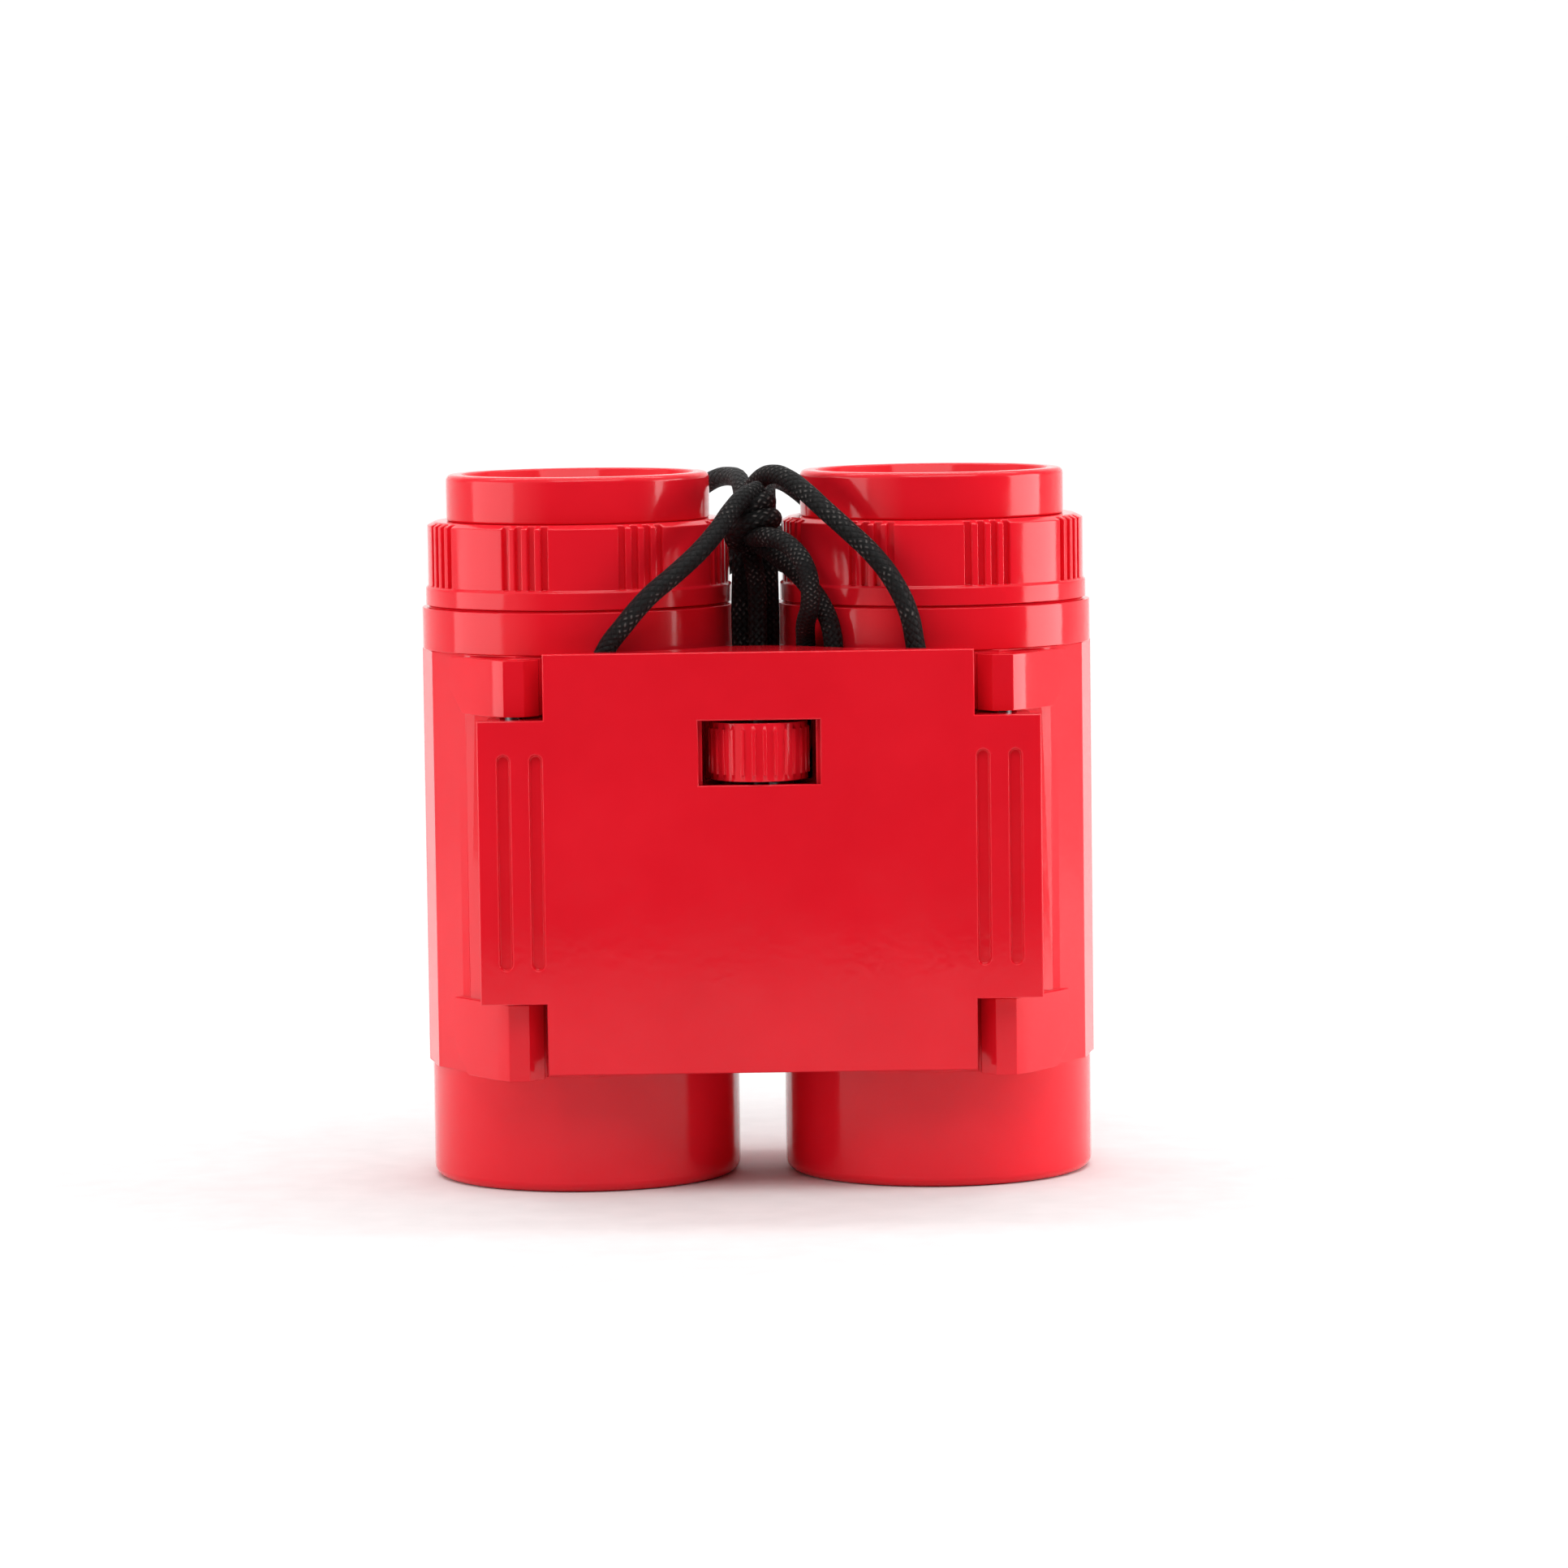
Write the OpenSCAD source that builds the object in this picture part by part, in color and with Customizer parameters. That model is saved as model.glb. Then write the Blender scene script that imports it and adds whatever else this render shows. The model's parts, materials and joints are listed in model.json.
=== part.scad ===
// Folding toy binoculars, shown folded and standing on the objective tubes.
// Millimetres, +Z up, the bridge faces -Y, origin under the middle of the object.

/* [Barrels] */
// Gap between the two housings when folded
barrel_gap = 5; // [4:0.1:8]
// Corner radius of the sixteen-sided housing
housing_r = 20.5; // [17:0.1:24]
// Number of sides of the housing
housing_sides = 16; // [12:4:24]
// Length of the housing
housing_h = 54; // [50:1:60]
// Thickness of the housing's wall at its flats
housing_wall = 4.1; // [3.6:0.1:4.6]
// Height of the objective tube below the housing
tube_h = 15; // [13:0.5:18]
// Step in radius from the housing to the objective tube
tube_step = 0.5; // [0.1:0.1:1]
// Rounding of the objective tube's outer bottom edge
tube_round = 1.4; // [0.6:0.1:2]
// Length of the spigots that plug into the housing
spigot_h = 6; // [4:0.5:9]

/* [Lenses] */
// Step in radius from the housing's bore to the objective lens
objective_step = 1; // [0.6:0.1:1.6]
// Step in radius from the objective lens to its mouth
mouth_step = 2.4; // [2:0.1:2.8]
// Radius of curvature of the objective lens faces
objective_curve = 60; // [50:1:90]
// Edge thickness of the objective lens
objective_edge = 1.6; // [1.2:0.1:2]
// Depth of the objective mouth in front of the lens
mouth_depth = 6; // [5:0.5:7]
// Thickness of the lens cell's wall round the eye lens
cell_wall = 4.5; // [4:0.1:5]
// Radius of curvature of the eye lens faces
eye_curve = 16; // [13:0.5:24]
// Edge thickness of the eye lens
eye_edge = 1.4; // [1:0.1:1.8]

/* [Eyepieces] */
// Step in radius from the housing to the fixed collar
collar_step = 0.1; // [0:0.1:0.6]
// Height of the collar above the housing
collar_h = 5.4; // [4:0.1:7]
// Step in radius from the collar to the plain band of the focus ring
band_step = 0.5; // [0.2:0.1:1]
// Height of the plain band
band_h = 2.8; // [2:0.1:4]
// Step in radius from the plain band to the ribbed part
ring_step = 0.3; // [0.1:0.1:0.6]
// Thickness of the focus ring's wall
ring_wall = 4.9; // [4:0.1:5.6]
// Thickness of the web at the top of the focus ring
web_t = 2.6; // [2:0.1:3.2]
// Thickness of the neck that the focus ring turns on
neck_wall = 2.84; // [2.4:0.02:3.2]
// Height of the ribbed part of the focus ring
ring_h = 8.3; // [7:0.1:10]
// Number of rib groups round the focus ring
rib_groups = 8; // [6:1:10]
// Number of grooves in a rib group
grooves_per_group = 4; // [3:1:5]
// Angle from groove to groove
groove_step = 5.2; // [4.5:0.1:6]
// Width of a groove
groove_w = 0.9; // [0.6:0.1:1.2]
// Depth of a groove
groove_d = 0.7; // [0.4:0.1:1]
// Angle that the rib groups are turned towards the middle
rib_turn = 3; // [0:0.5:10]
// Step in radius from the focus ring to the eyecup
cup_step = 2.5; // [2:0.1:3]
// Height of the eyecup above the focus ring
cup_h = 6; // [5:0.1:8]
// Width of the eyecup's rim
cup_rim = 2; // [1.5:0.1:2.6]
// Rounding of the eyecup's rim
cup_round = 0.8; // [0.3:0.1:0.9]
// Step in radius from the eye lens to the opening in the eyecup's dish
cup_lip = 1; // [0.6:0.1:2]
// How far the lens cell slides out
focus_travel = 3; // [1:0.5:4]

/* [Bridge] */
// How far the bridge's front face stands before the housings
bridge_stand = 5.5; // [5.5:0.1:6.5]
// Depth of the bridge at its middle
bridge_depth = 11.6; // [11:0.1:12]
// How far the main plate reaches past the barrel axes
plate_reach = 4.3; // [3.5:0.1:4.5]
// Height of the main plate
plate_h = 53.6; // [52:0.2:56]
// Height of the main plate's lower edge above the table
plate_z = 16; // [15.5:0.1:17]
// How far a wing reaches past the main plate
wing_reach = 8.4; // [7.7:0.1:8.7]
// Thickness of the front wall
front_wall = 1.6; // [1.4:0.1:1.8]
// Thickness of the top and bottom walls
end_wall = 2; // [1.6:0.1:2.4]
// Thickness of the rear tray's walls
tray_wall = 1.4; // [1.2:0.1:1.6]
// Room between the wheel and the rear tray's side walls
tray_room = 0.7; // [0.5:0.1:1.1]
// How far the pocket behind the front wall stops short of the barrel axes
pocket_inset = 5; // [4.6:0.1:6]
// Gap between the bridge and the housings, wide enough for the cord
bridge_gap = 3.1; // [3:0.1:3.3]
// Width of a wing groove
wing_groove_w = 1.6; // [1.2:0.1:2]
// Depth of a wing groove
wing_groove_d = 0.6; // [0.3:0.1:0.8]
// Length of a wing groove
wing_groove_h = 27.4; // [24:0.2:29]
// Distance of the inner wing groove from the main plate's edge
wing_groove_in = 1; // [0.8:0.1:1.4]
// Distance between the two wing grooves
wing_groove_pitch = 4.1; // [3.6:0.1:4.4]

/* [Hinges] */
// Radius of the hinge knuckles
knuckle_r = 3.4; // [3.2:0.1:3.6]
// Radius of the hinge pins
pin_r = 1.25; // [1:0.05:1.5]
// Height of the lower lug
lower_lug_h = 9.8; // [8:0.1:11]
// Height of the upper lug
upper_lug_h = 7.2; // [6:0.1:8]
// Length of the lug's outer flat
lug_flat = 9.8; // [8:0.1:10.5]
// Size of the cut on the lug's lower outer corner
lug_cut = 4.4; // [3:0.1:5]
// How far the knuckle lies behind the front face
knuckle_inset = 2; // [1.6:0.1:2.4]

/* [Wheel] */
// Radius of the thumb wheel
wheel_r = 6.5; // [6.2:0.1:6.7]
// Height of the thumb wheel
wheel_h = 7.4; // [6.4:0.1:8]
// How far the wheel stands out of the front face
wheel_proud = 0.5; // [0.3:0.1:0.9]
// Depth of the wheel's middle below the main plate's upper edge
wheel_drop = 12.8; // [12.2:0.1:17]
// Number of ribs on the wheel
wheel_ribs = 28; // [20:1:34]
// Depth of the notches between the ribs
wheel_notch = 0.5; // [0.3:0.1:0.6]
// Height of the plain rims of the wheel
wheel_rim = 0.8; // [0.5:0.1:1.2]
// Radius of the wheel's axle
axle_r = 1.25; // [1:0.05:1.5]
// Room beside the wheel in its window
window_side = 1.2; // [0.8:0.1:1.5]
// Room above and below the wheel in its window
window_gap = 0.4; // [0.3:0.05:0.8]
// Width of the ribs that carry the axle
axle_rib_w = 9; // [7:0.2:10]
// Thickness of the ribs that carry the axle
axle_rib = 2.4; // [2:0.1:3]
// Wall behind the axle in its ribs
axle_wall = 1.95; // [1.5:0.05:2.5]

/* [Screws] */
// Radius of the screw shanks
screw_r = 1; // [0.8:0.05:1.2]
// Length of screw that bites into its boss
screw_bite = 5; // [4:0.1:5.5]
// Wall of a screw boss
boss_wall = 1.2; // [1:0.1:1.6]
// Height of the lowest screw above the main plate's lower edge
screw_low = 8; // [6:0.2:12]
// Height of the middle screw above the main plate's lower edge
screw_middle = 24; // [18:0.2:28]
// Depth of the highest screw below the main plate's upper edge
screw_high = 4.6; // [4.2:0.1:5]

/* [Cord] */
// Diameter of the neck cord
cord_d = 2.5; // [2:0.1:2.5]
// Radius of the main knot
knot_r = 4.4; // [3.6:0.1:4.8]
// Height of the main knot
knot_h = 10.2; // [8:0.1:10.4]
// Radius of the stopper knots
stopper_r = 2.2; // [1.8:0.1:2.2]
// Length of the hank's straight runs
hank_run = 34; // [30:1:38]
// Radius of the hank's innermost fold
hank_fold_r = 7.5; // [7.5:0.1:8]
// Step from turn to turn and from layer to layer of the hank
hank_step = 3.4; // [3.4:0.1:3.6]
// How far the tie draws the hank's runs in
hank_waist = 5.4; // [4:0.1:5.4]
// Height of the tie
tie_h = 4; // [3:0.5:6]
// Thickness of the tie
tie_t = 1.2; // [0.8:0.1:1.4]

/* [Fits] */
// Gap between pieces that move past each other
move_gap = 0.3; // [0.3:0.05:0.4]
// Radial clearance of a running fit
run_fit = 0.06; // [0.03:0.01:0.1]
// Radial clearance of a fixed fit
fixed_fit = 0.02; // [0.01:0.01:0.05]

/* [Hidden] */
$fn = 96;

red = [0.86, 0.08, 0.13];
steel = [0.72, 0.73, 0.75];
clear = [0.8, 0.9, 0.95, 0.5];
black = [0.07, 0.07, 0.07];
eps = 0.01;

// Levels along Z
housing_z = tube_h;
collar_z = housing_z + housing_h;
ring_z = collar_z + collar_h;
ring_top = ring_z + band_h + ring_h;
cup_top = ring_top + cup_h;
plate_top = plate_z + plate_h;

// Plan: the barrel axes lie at y = barrel_y, so that the origin is under the middle of the depth
axis_x = housing_r + barrel_gap / 2;
barrel_y = (bridge_stand + wheel_proud) / 2;
front_y = barrel_y - housing_r - bridge_stand;
rear_y = front_y + bridge_depth;
bridge_r = housing_r + bridge_gap;
plate_half = axis_x + plate_reach;
wing_half = plate_half + wing_reach;
pocket_half_w = axis_x - pocket_inset;
wing_groove_x = plate_half + wing_groove_in;
hinge_x = plate_half + move_gap + knuckle_r;
hinge_y = front_y + knuckle_inset + knuckle_r;

// Hinge lugs and the wing that lies between them
lower_lug_top = housing_z + lower_lug_h;
upper_lug_z = collar_z - move_gap - upper_lug_h;
wing_z = lower_lug_top + move_gap;
wing_top = upper_lug_z - move_gap;
flat_angle = 56.25;
flat_normal = [sin(flat_angle), -cos(flat_angle)];
flat_along = [cos(flat_angle), sin(flat_angle)];
lug_embed = 3.4;

// Thumb wheel
wheel_y = front_y - wheel_proud + wheel_r;
wheel_z = plate_top - wheel_drop;
window_w = 2 * (wheel_r + window_side);
window_h = wheel_h + 2 * window_gap;
tray_half_w = wheel_r + tray_room + tray_wall;
axle_half = window_h / 2 + axle_rib;
screw_head_r = 2 * screw_r;
screw_head_h = 1.2 * screw_r;
screw_zs = [plate_z + screw_low, plate_z + screw_middle, plate_top - screw_high];
boss_r = screw_r + boss_wall;

// Radii, from the housing inwards
housing_bore_r = housing_r * cos(180 / housing_sides) - housing_wall;
tube_r = housing_r - tube_step;
objective_r = housing_bore_r - objective_step;
mouth_r = objective_r + mouth_step;
collar_r = housing_r - collar_step;
band_r = collar_r - band_step;
ring_r = band_r - ring_step;
neck_r = ring_r - ring_wall - move_gap;
cell_r = neck_r - neck_wall - run_fit;
eye_lens_r = cell_r - cell_wall;
cup_r = ring_r - cup_step;
cup_hole_r = eye_lens_r + cup_lip;

// Lens seats, and the fineness of the large lens faces
lens_fn = 360;
lens_lip = 1;
seat_wall = 1.2;
cell_drop = 0.4;
cell_step = 1.6;

// Eyepiece
neck_h = band_h + ring_h - web_t - move_gap;
web_z = ring_top - web_t;
cell_z = collar_z - focus_travel;
cell_top = ring_top - cell_drop;
lens_seat_z = cell_top - 3 * eye_edge;

// Cord routes: left and right strand, and the two strands that go to the hank
stopper_place = [14, -19, 48];
strand_foot = [[14, -19, 48], [14, -19, 52.6], [15.3, -19, 56], [17.8, -18.6, 59.8],
    [19.9, -18.7, 63.6]];
left_rise = [[-20.3, -18.8, 67], [-19.2, -18.9, 69.9], [-17, -19, 72.8], [-13.8, -18.6, 76.4],
    [-10.4, -17.4, 79.2], [-7.2, -15.4, 82], [-4.9, -13.6, 84.5], [-3.1, -12.1, 86.9], [-1.4, -10.4, 88.6],
    [0.4, -8.4, 89.4]];
right_rise = [[20.5, -18.8, 67], [20, -18.9, 70], [19.2, -19, 74], [17.3, -18.3, 78.1],
    [14.8, -17.1, 81.4], [11.8, -15.5, 84.3], [8.8, -13.4, 87], [6.4, -11.1, 89.2],
    [4.2, -8.6, 90.8], [2.2, -6.2, 91.3], [0.5, -4.1, 90.4], [-0.7, -2.9, 88.3], [-1.1, -3, 85.6],
    [-0.9, -4.1, 82.6], [-0.3, -5.4, 79.6], [0.1, -6.2, 76.4], [0.1, -6.4, 72.8], [0.1, -6.4, 69],
    [0.1, -6.3, 65], [0.1, -6.2, 61.5]];
loop_a_route = [[-0.2, -9.8, 83.4], [2.3, -12.8, 83.4], [4.6, -15.1, 82.2], [6.2, -16.4, 79.9],
    [6.8, -16.6, 77.1], [6.7, -15.7, 74.6], [6.2, -13.8, 72.5], [6.2, -12, 70.4],
    [6.2, -11.1, 68], [6, -10.9, 65.2], [5.7, -10.8, 62], [5.5, -10.6, 59.4],
    [5.1, -9.9, 56.8], [4.2, -8.3, 54.9], [3.05, -6.05, 54.2], [2.1, -3.8, 54.9], [1.6, -2.1, 56.8],
    [1.4, -1.4, 59.6], [1.45, -1.6, 63], [1.6, -2.4, 66.6], [1.7, -3.1, 70], [1.7, -3.2, 74],
    [1.65, -2.7, 78], [1.55, -1.4, 82.4], [1.5, 1, 87], [1.6, 4.8, 89.6],
    [2.6, 10.4, 90], [5.2, 16, 88.6], [8.8, 20.6, 84.8], [11.6, 22.6, 79.6], [12.6, 22.9, 74],
    [12.6, 22.9, 71]];
loop_b_route = [[0.7, -7.2, 82.2], [2.6, -9, 81], [4.8, -10.6, 79.2], [6.8, -11.9, 77],
    [8.5, -13.3, 74.4], [9.5, -14.4, 71.5], [9.7, -14.6, 68], [9.4, -14.5, 64.5], [8.7, -13.8, 60],
    [7.6, -12.7, 55], [6.2, -11.2, 50.6], [3.2, -7, 48], [-0.1, -3, 50], [-1.4, -1.4, 55],
    [-1.5, -1.7, 60], [-1.75, -2.8, 65], [-1.95, -3.8, 69.6], [-2, -3.9, 74], [-1.85, -3, 78.6],
    [-1.6, -1.2, 83], [-1.5, 1, 86.8],
    [-1.7, 4.8, 89.4], [-2.8, 10.6, 90.4], [-6, 17, 89.4], [-10.4, 23, 85], [-13.2, 25.9, 79.4],
    [-14.3, 26.3, 74], [-14.3, 26.3, 71]];
knot_place = [-0.4, -7.5, 80.6];
strand_sides = 8;

// Hank: turns are counted from the top of the right run, and the climb takes one left run
hank_place = [0, 22.9, 54];
hank_in_turns = 1.5;
hank_climb_turns = 0.25;
hank_out_turns = 2;
hank_turns = hank_in_turns + hank_climb_turns + hank_out_turns;
hank_rings = 24;
hank_sides = 6;
hank_waist_reach = 11;
hank_probe = 96;

function unit(v) = v / norm(v);

// Height of a round lens face between its middle and a radius r
function sag(curve, r) = curve - sqrt(curve * curve - r * r);

// One normal for each point of a path, carried along without twist
function path_tangent(p, i) = unit(p[min(i + 1, len(p) - 1)] - p[max(i - 1, 0)]);
function square_to(v, t) = unit(v - (v * t) * t);
function path_normals(p, start) =
    [for (i = 0, n = square_to(start, path_tangent(p, 0)); i < len(p);
        i = i + 1, n = i < len(p) ? square_to(n, path_tangent(p, i)) : n) n];

// Closed tube of triangles along a path
module tube_along(p, r, sides, start) {
    normals = path_normals(p, start);
    count = len(p);
    points = [for (i = [0 : count - 1])
        let (t = path_tangent(p, i), n = normals[i], b = cross(t, n))
        for (k = [0 : sides - 1]) p[i] + r * (cos(360 * k / sides) * n + sin(360 * k / sides) * b)];
    walls = [for (i = [0 : count - 2]) for (k = [0 : sides - 1])
        let (a = i * sides + k, b = i * sides + (k + 1) % sides)
        for (f = [[a, a + sides, b], [b, a + sides, b + sides]]) f];
    start_cap = [for (k = [1 : sides - 2]) [0, k, k + 1]];
    last = (count - 1) * sides;
    end_cap = [for (k = [1 : sides - 2]) [last, last + k + 1, last + k]];
    polyhedron(points, concat(walls, start_cap, end_cap));
}

// Hank: place on one turn of a long loop with round ends, 0 to 1, for a fold radius r
function loop_xz(turn, r) =
    let (s = (turn - floor(turn)) * 4, half = hank_run / 2)
    s < 1 ? [r, half - hank_run * s] :
    s < 2 ? [r * cos(180 * (s - 1)), -half - r * sin(180 * (s - 1))] :
    s < 3 ? [-r, -half + hank_run * (s - 2)] :
    [-r * cos(180 * (s - 3)), half + r * sin(180 * (s - 3))];
function hank_r(turn) = hank_fold_r + hank_step * (turn < hank_in_turns ? hank_in_turns - turn :
    max(0, turn - hank_in_turns - hank_climb_turns));
function hank_layer(turn) =
    let (s = min(1, max(0, (turn - hank_in_turns) / hank_climb_turns))) s * s * (3 - 2 * s);
function hank_point(turn) =
    let (r = hank_r(turn), q = loop_xz(turn, r), draw = hank_waist * exp(-pow(q[1] / hank_waist_reach, 2)))
    hank_place + [q[0] * (1 - draw / r), hank_step * hank_layer(turn), q[1]];
function hank_path(per_turn) =
    [for (i = [0 : hank_turns * per_turn]) hank_point(min(hank_turns, i / per_turn))];

// Least gap of the hank to itself, measured between points more than a third of a turn apart
hank_fine = hank_path(hank_probe);
hank_apart = floor(hank_probe / 3);
hank_gap = min([for (i = [0 : len(hank_fine) - 1]) for (j = [i + hank_apart : 1 : len(hank_fine) - 1])
    norm(hank_fine[i] - hank_fine[j])]) - cord_d;
hank_length = [for (i = 1, s = 0; i < len(hank_fine);
    s = s + norm(hank_fine[i] - hank_fine[i - 1]), i = i + 1) s];
echo(hank_least_gap = hank_gap, hank_length = hank_length[len(hank_length) - 1]);

// Places a piece that is drawn about its own axis on the right barrel, or mirrored on the left one
module on_barrel(side) {
    mirror([side < 0 ? 1 : 0, 0, 0]) translate([axis_x, barrel_y, 0]) children();
}

// Round wall between two radii
module sleeve(r_out, r_in, z0, z1) {
    translate([0, 0, z0]) difference() {
        cylinder(r = r_out, h = z1 - z0);
        translate([0, 0, -eps]) cylinder(r = r_in, h = z1 - z0 + 2 * eps);
    }
}

// Lens with two round faces and a straight edge, middle at z
module lens(r, curve, edge, z) {
    bulge = sag(curve, r);
    intersection() {
        translate([0, 0, z - edge / 2 + curve - bulge]) sphere(r = curve, $fn = lens_fn);
        translate([0, 0, z + edge / 2 - curve + bulge]) sphere(r = curve, $fn = lens_fn);
        translate([0, 0, z - edge / 2 - bulge]) cylinder(r = r, h = edge + 2 * bulge);
    }
}

// Outline of the housing, with one corner to the front
module housing_outline() {
    polygon([for (i = [0 : housing_sides - 1])
        housing_r * [sin(360 * i / housing_sides), -cos(360 * i / housing_sides)]]);
}

// Hinge lug about the barrel's own axis: eight-sided knuckle, outer flat and root in the housing
module lug_outline() {
    hinge = [hinge_x - axis_x, hinge_y - barrel_y];
    flat_start = hinge + knuckle_r * [sin(67.5), -cos(67.5)];
    flat_end = flat_start + lug_flat * flat_along;
    root_x = hinge[0] - knuckle_r;
    root_r = housing_r - lug_embed / 2;
    translate(hinge) rotate(22.5) circle(r = knuckle_r, $fn = 8);
    polygon([hinge, flat_start, flat_end, flat_end - lug_embed * flat_normal,
        [root_x, -sqrt(root_r * root_r - root_x * root_x)], hinge - [knuckle_r, 0]]);
}

// Lug with its lower outer corner cut across
module lug(z, h) {
    hinge = [hinge_x - axis_x, hinge_y - barrel_y];
    corner = hinge + knuckle_r * [sin(67.5), -cos(67.5)] + lug_flat * flat_along;
    difference() {
        translate([0, 0, z]) linear_extrude(h) lug_outline();
        translate([corner[0], corner[1], z]) rotate([0, 0, flat_angle])
            rotate([0, 45, 0]) cube([lug_cut, 4 * lug_embed, lug_cut], center = true);
    }
}

module barrel_housing(side) {
    hinge = [hinge_x - axis_x, hinge_y - barrel_y];
    color(red) on_barrel(side) difference() {
        union() {
            difference() {
                translate([0, 0, housing_z]) linear_extrude(housing_h) housing_outline();
                translate([hinge[0], hinge[1], lower_lug_top])
                    cylinder(r = knuckle_r + move_gap, h = upper_lug_z - lower_lug_top);
            }
            lug(housing_z, lower_lug_h);
            lug(upper_lug_z, upper_lug_h);
        }
        translate([0, 0, housing_z - eps]) cylinder(r = housing_bore_r, h = housing_h + 2 * eps);
        translate([hinge[0], hinge[1], housing_z - eps])
            cylinder(r = pin_r + run_fit, h = upper_lug_z + upper_lug_h - end_wall - housing_z);
    }
}

module objective_tube(side) {
    spigot_r = housing_bore_r - fixed_fit;
    spigot_in = objective_r - lens_lip;
    bulge = sag(objective_curve, objective_r) - sag(objective_curve, spigot_in);
    seat_z = mouth_depth + objective_edge + 2 * fixed_fit + bulge;
    seat_top = seat_z + 1.6;
    color(red) on_barrel(side) rotate_extrude() difference() {
        union() {
            translate([spigot_in, tube_round]) square([tube_r - spigot_in, tube_h - tube_round]);
            translate([spigot_in, 0]) square([tube_r - tube_round - spigot_in, tube_h]);
            translate([tube_r - tube_round, tube_round]) circle(r = tube_round);
            translate([spigot_in, tube_h - eps]) square([spigot_r - spigot_in, spigot_h + eps]);
        }
        translate([0, -eps]) square([mouth_r, mouth_depth + eps]);
        translate([0, mouth_depth - eps]) square([objective_r + fixed_fit, seat_z - mouth_depth + eps]);
        translate([0, seat_top]) square([spigot_in + eps, tube_h]);
    }
}

module objective_lens(side) {
    color(clear) on_barrel(side)
        lens(objective_r, objective_curve, objective_edge, mouth_depth + fixed_fit + objective_edge / 2);
}

module objective_ring(side) {
    ring_t = 2.2;
    ring_in = objective_r - lens_lip;
    bulge = sag(objective_curve, objective_r) - sag(objective_curve, ring_in);
    color(red) on_barrel(side)
        sleeve(mouth_r - fixed_fit, ring_in, mouth_depth - bulge - ring_t, mouth_depth - bulge);
}

module eyepiece_collar(side) {
    bore = cell_r + run_fit;
    color(red) on_barrel(side) {
        difference() {
            union() {
                translate([0, 0, collar_z]) cylinder(r = collar_r, h = collar_h);
                translate([0, 0, collar_z - spigot_h])
                    cylinder(r = housing_bore_r - fixed_fit, h = spigot_h + eps);
                translate([0, 0, ring_z - eps]) cylinder(r = neck_r, h = neck_h);
            }
            translate([0, 0, collar_z - spigot_h - eps])
                cylinder(r = bore, h = spigot_h + collar_h + neck_h + 2 * eps);
        }
    }
}

module lens_cell(side) {
    color(red) on_barrel(side) difference() {
        translate([0, 0, cell_z]) cylinder(r = cell_r, h = cell_top - cell_z);
        translate([0, 0, cell_z - eps])
            cylinder(r = eye_lens_r + cell_step, h = lens_seat_z - seat_wall - cell_z);
        translate([0, 0, cell_z]) cylinder(r = eye_lens_r - lens_lip, h = cell_top - cell_z + eps);
        translate([0, 0, lens_seat_z]) cylinder(r = eye_lens_r + fixed_fit, h = cell_top - lens_seat_z + eps);
    }
}

module eye_lens(side) {
    bulge = sag(eye_curve, eye_lens_r) - sag(eye_curve, eye_lens_r - lens_lip);
    color(clear) on_barrel(side)
        lens(eye_lens_r, eye_curve, eye_edge, lens_seat_z + fixed_fit + eye_edge / 2 + bulge);
}

// Focus ring: band, ribbed wall and a top web that turns on the lens cell
module focus_ring(side) {
    rib_z = ring_z + band_h;
    bore = neck_r + move_gap;
    edge = 0.5;
    color(red) on_barrel(side) difference() {
        rotate_extrude() polygon([[bore, ring_z + move_gap], [band_r, ring_z + move_gap],
            [band_r, rib_z - 0.3], [ring_r, rib_z], [ring_r, ring_top - edge], [ring_r - 2 * edge, ring_top],
            [cell_r + run_fit, ring_top], [cell_r + run_fit, web_z], [bore, web_z]]);
        translate([0, 0, rib_z]) linear_extrude(ring_h + eps)
            for (g = [0 : rib_groups - 1]) for (k = [0 : grooves_per_group - 1])
                rotate(360 * (g + 0.5) / rib_groups - 90 - rib_turn)
                    rotate(groove_step * (k - (grooves_per_group - 1) / 2))
                        translate([ring_r - groove_d, -groove_w / 2]) square([2 * groove_d, groove_w]);
    }
}

// Eyecup: round rim, dished inside and an opening for the eye lens
module eyecup(side) {
    rim_in = cup_r - cup_rim;
    dish_z = ring_top + 1.8;
    color(red) on_barrel(side) rotate_extrude() difference() {
        union() {
            translate([cup_hole_r, ring_top]) square([cup_r - cup_hole_r, cup_h - cup_round]);
            translate([cup_hole_r, ring_top]) square([cup_r - cup_round - cup_hole_r, cup_h]);
            translate([cup_r - cup_round, cup_top - cup_round]) circle(r = cup_round);
        }
        polygon([[0, dish_z], [cup_hole_r, dish_z], [rim_in - 0.6, cup_top - 1.4],
            [rim_in, cup_top + eps], [0, cup_top + eps]]);
    }
}

// Plan of the bridge's middle part: square to the front, hollowed to the housings behind
module bridge_outline(gap_r) {
    difference() {
        translate([-plate_half, front_y]) square([2 * plate_half, bridge_depth]);
        for (s = [-1, 1]) translate([s * axis_x, barrel_y]) circle(r = gap_r);
    }
}

// Plan of a wing: front wall, and the knuckle that carries the hinge pin
module wing_outline() {
    translate([plate_half - eps, front_y]) square([wing_half - plate_half + eps, knuckle_inset]);
    translate([hinge_x, hinge_y]) circle(r = knuckle_r);
    translate([hinge_x - knuckle_r, front_y]) square([2 * knuckle_r, hinge_y - front_y]);
}

module wing_groove(x) {
    mid = (wing_z + wing_top) / 2;
    half = (wing_groove_h - wing_groove_w) / 2;
    translate([x, front_y + wing_groove_d, mid]) rotate([90, 0, 0]) linear_extrude(2 * wing_groove_d) {
        square([wing_groove_w, 2 * half], center = true);
        for (s = [-1, 1]) translate([0, s * half]) circle(d = wing_groove_w);
    }
}

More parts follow.
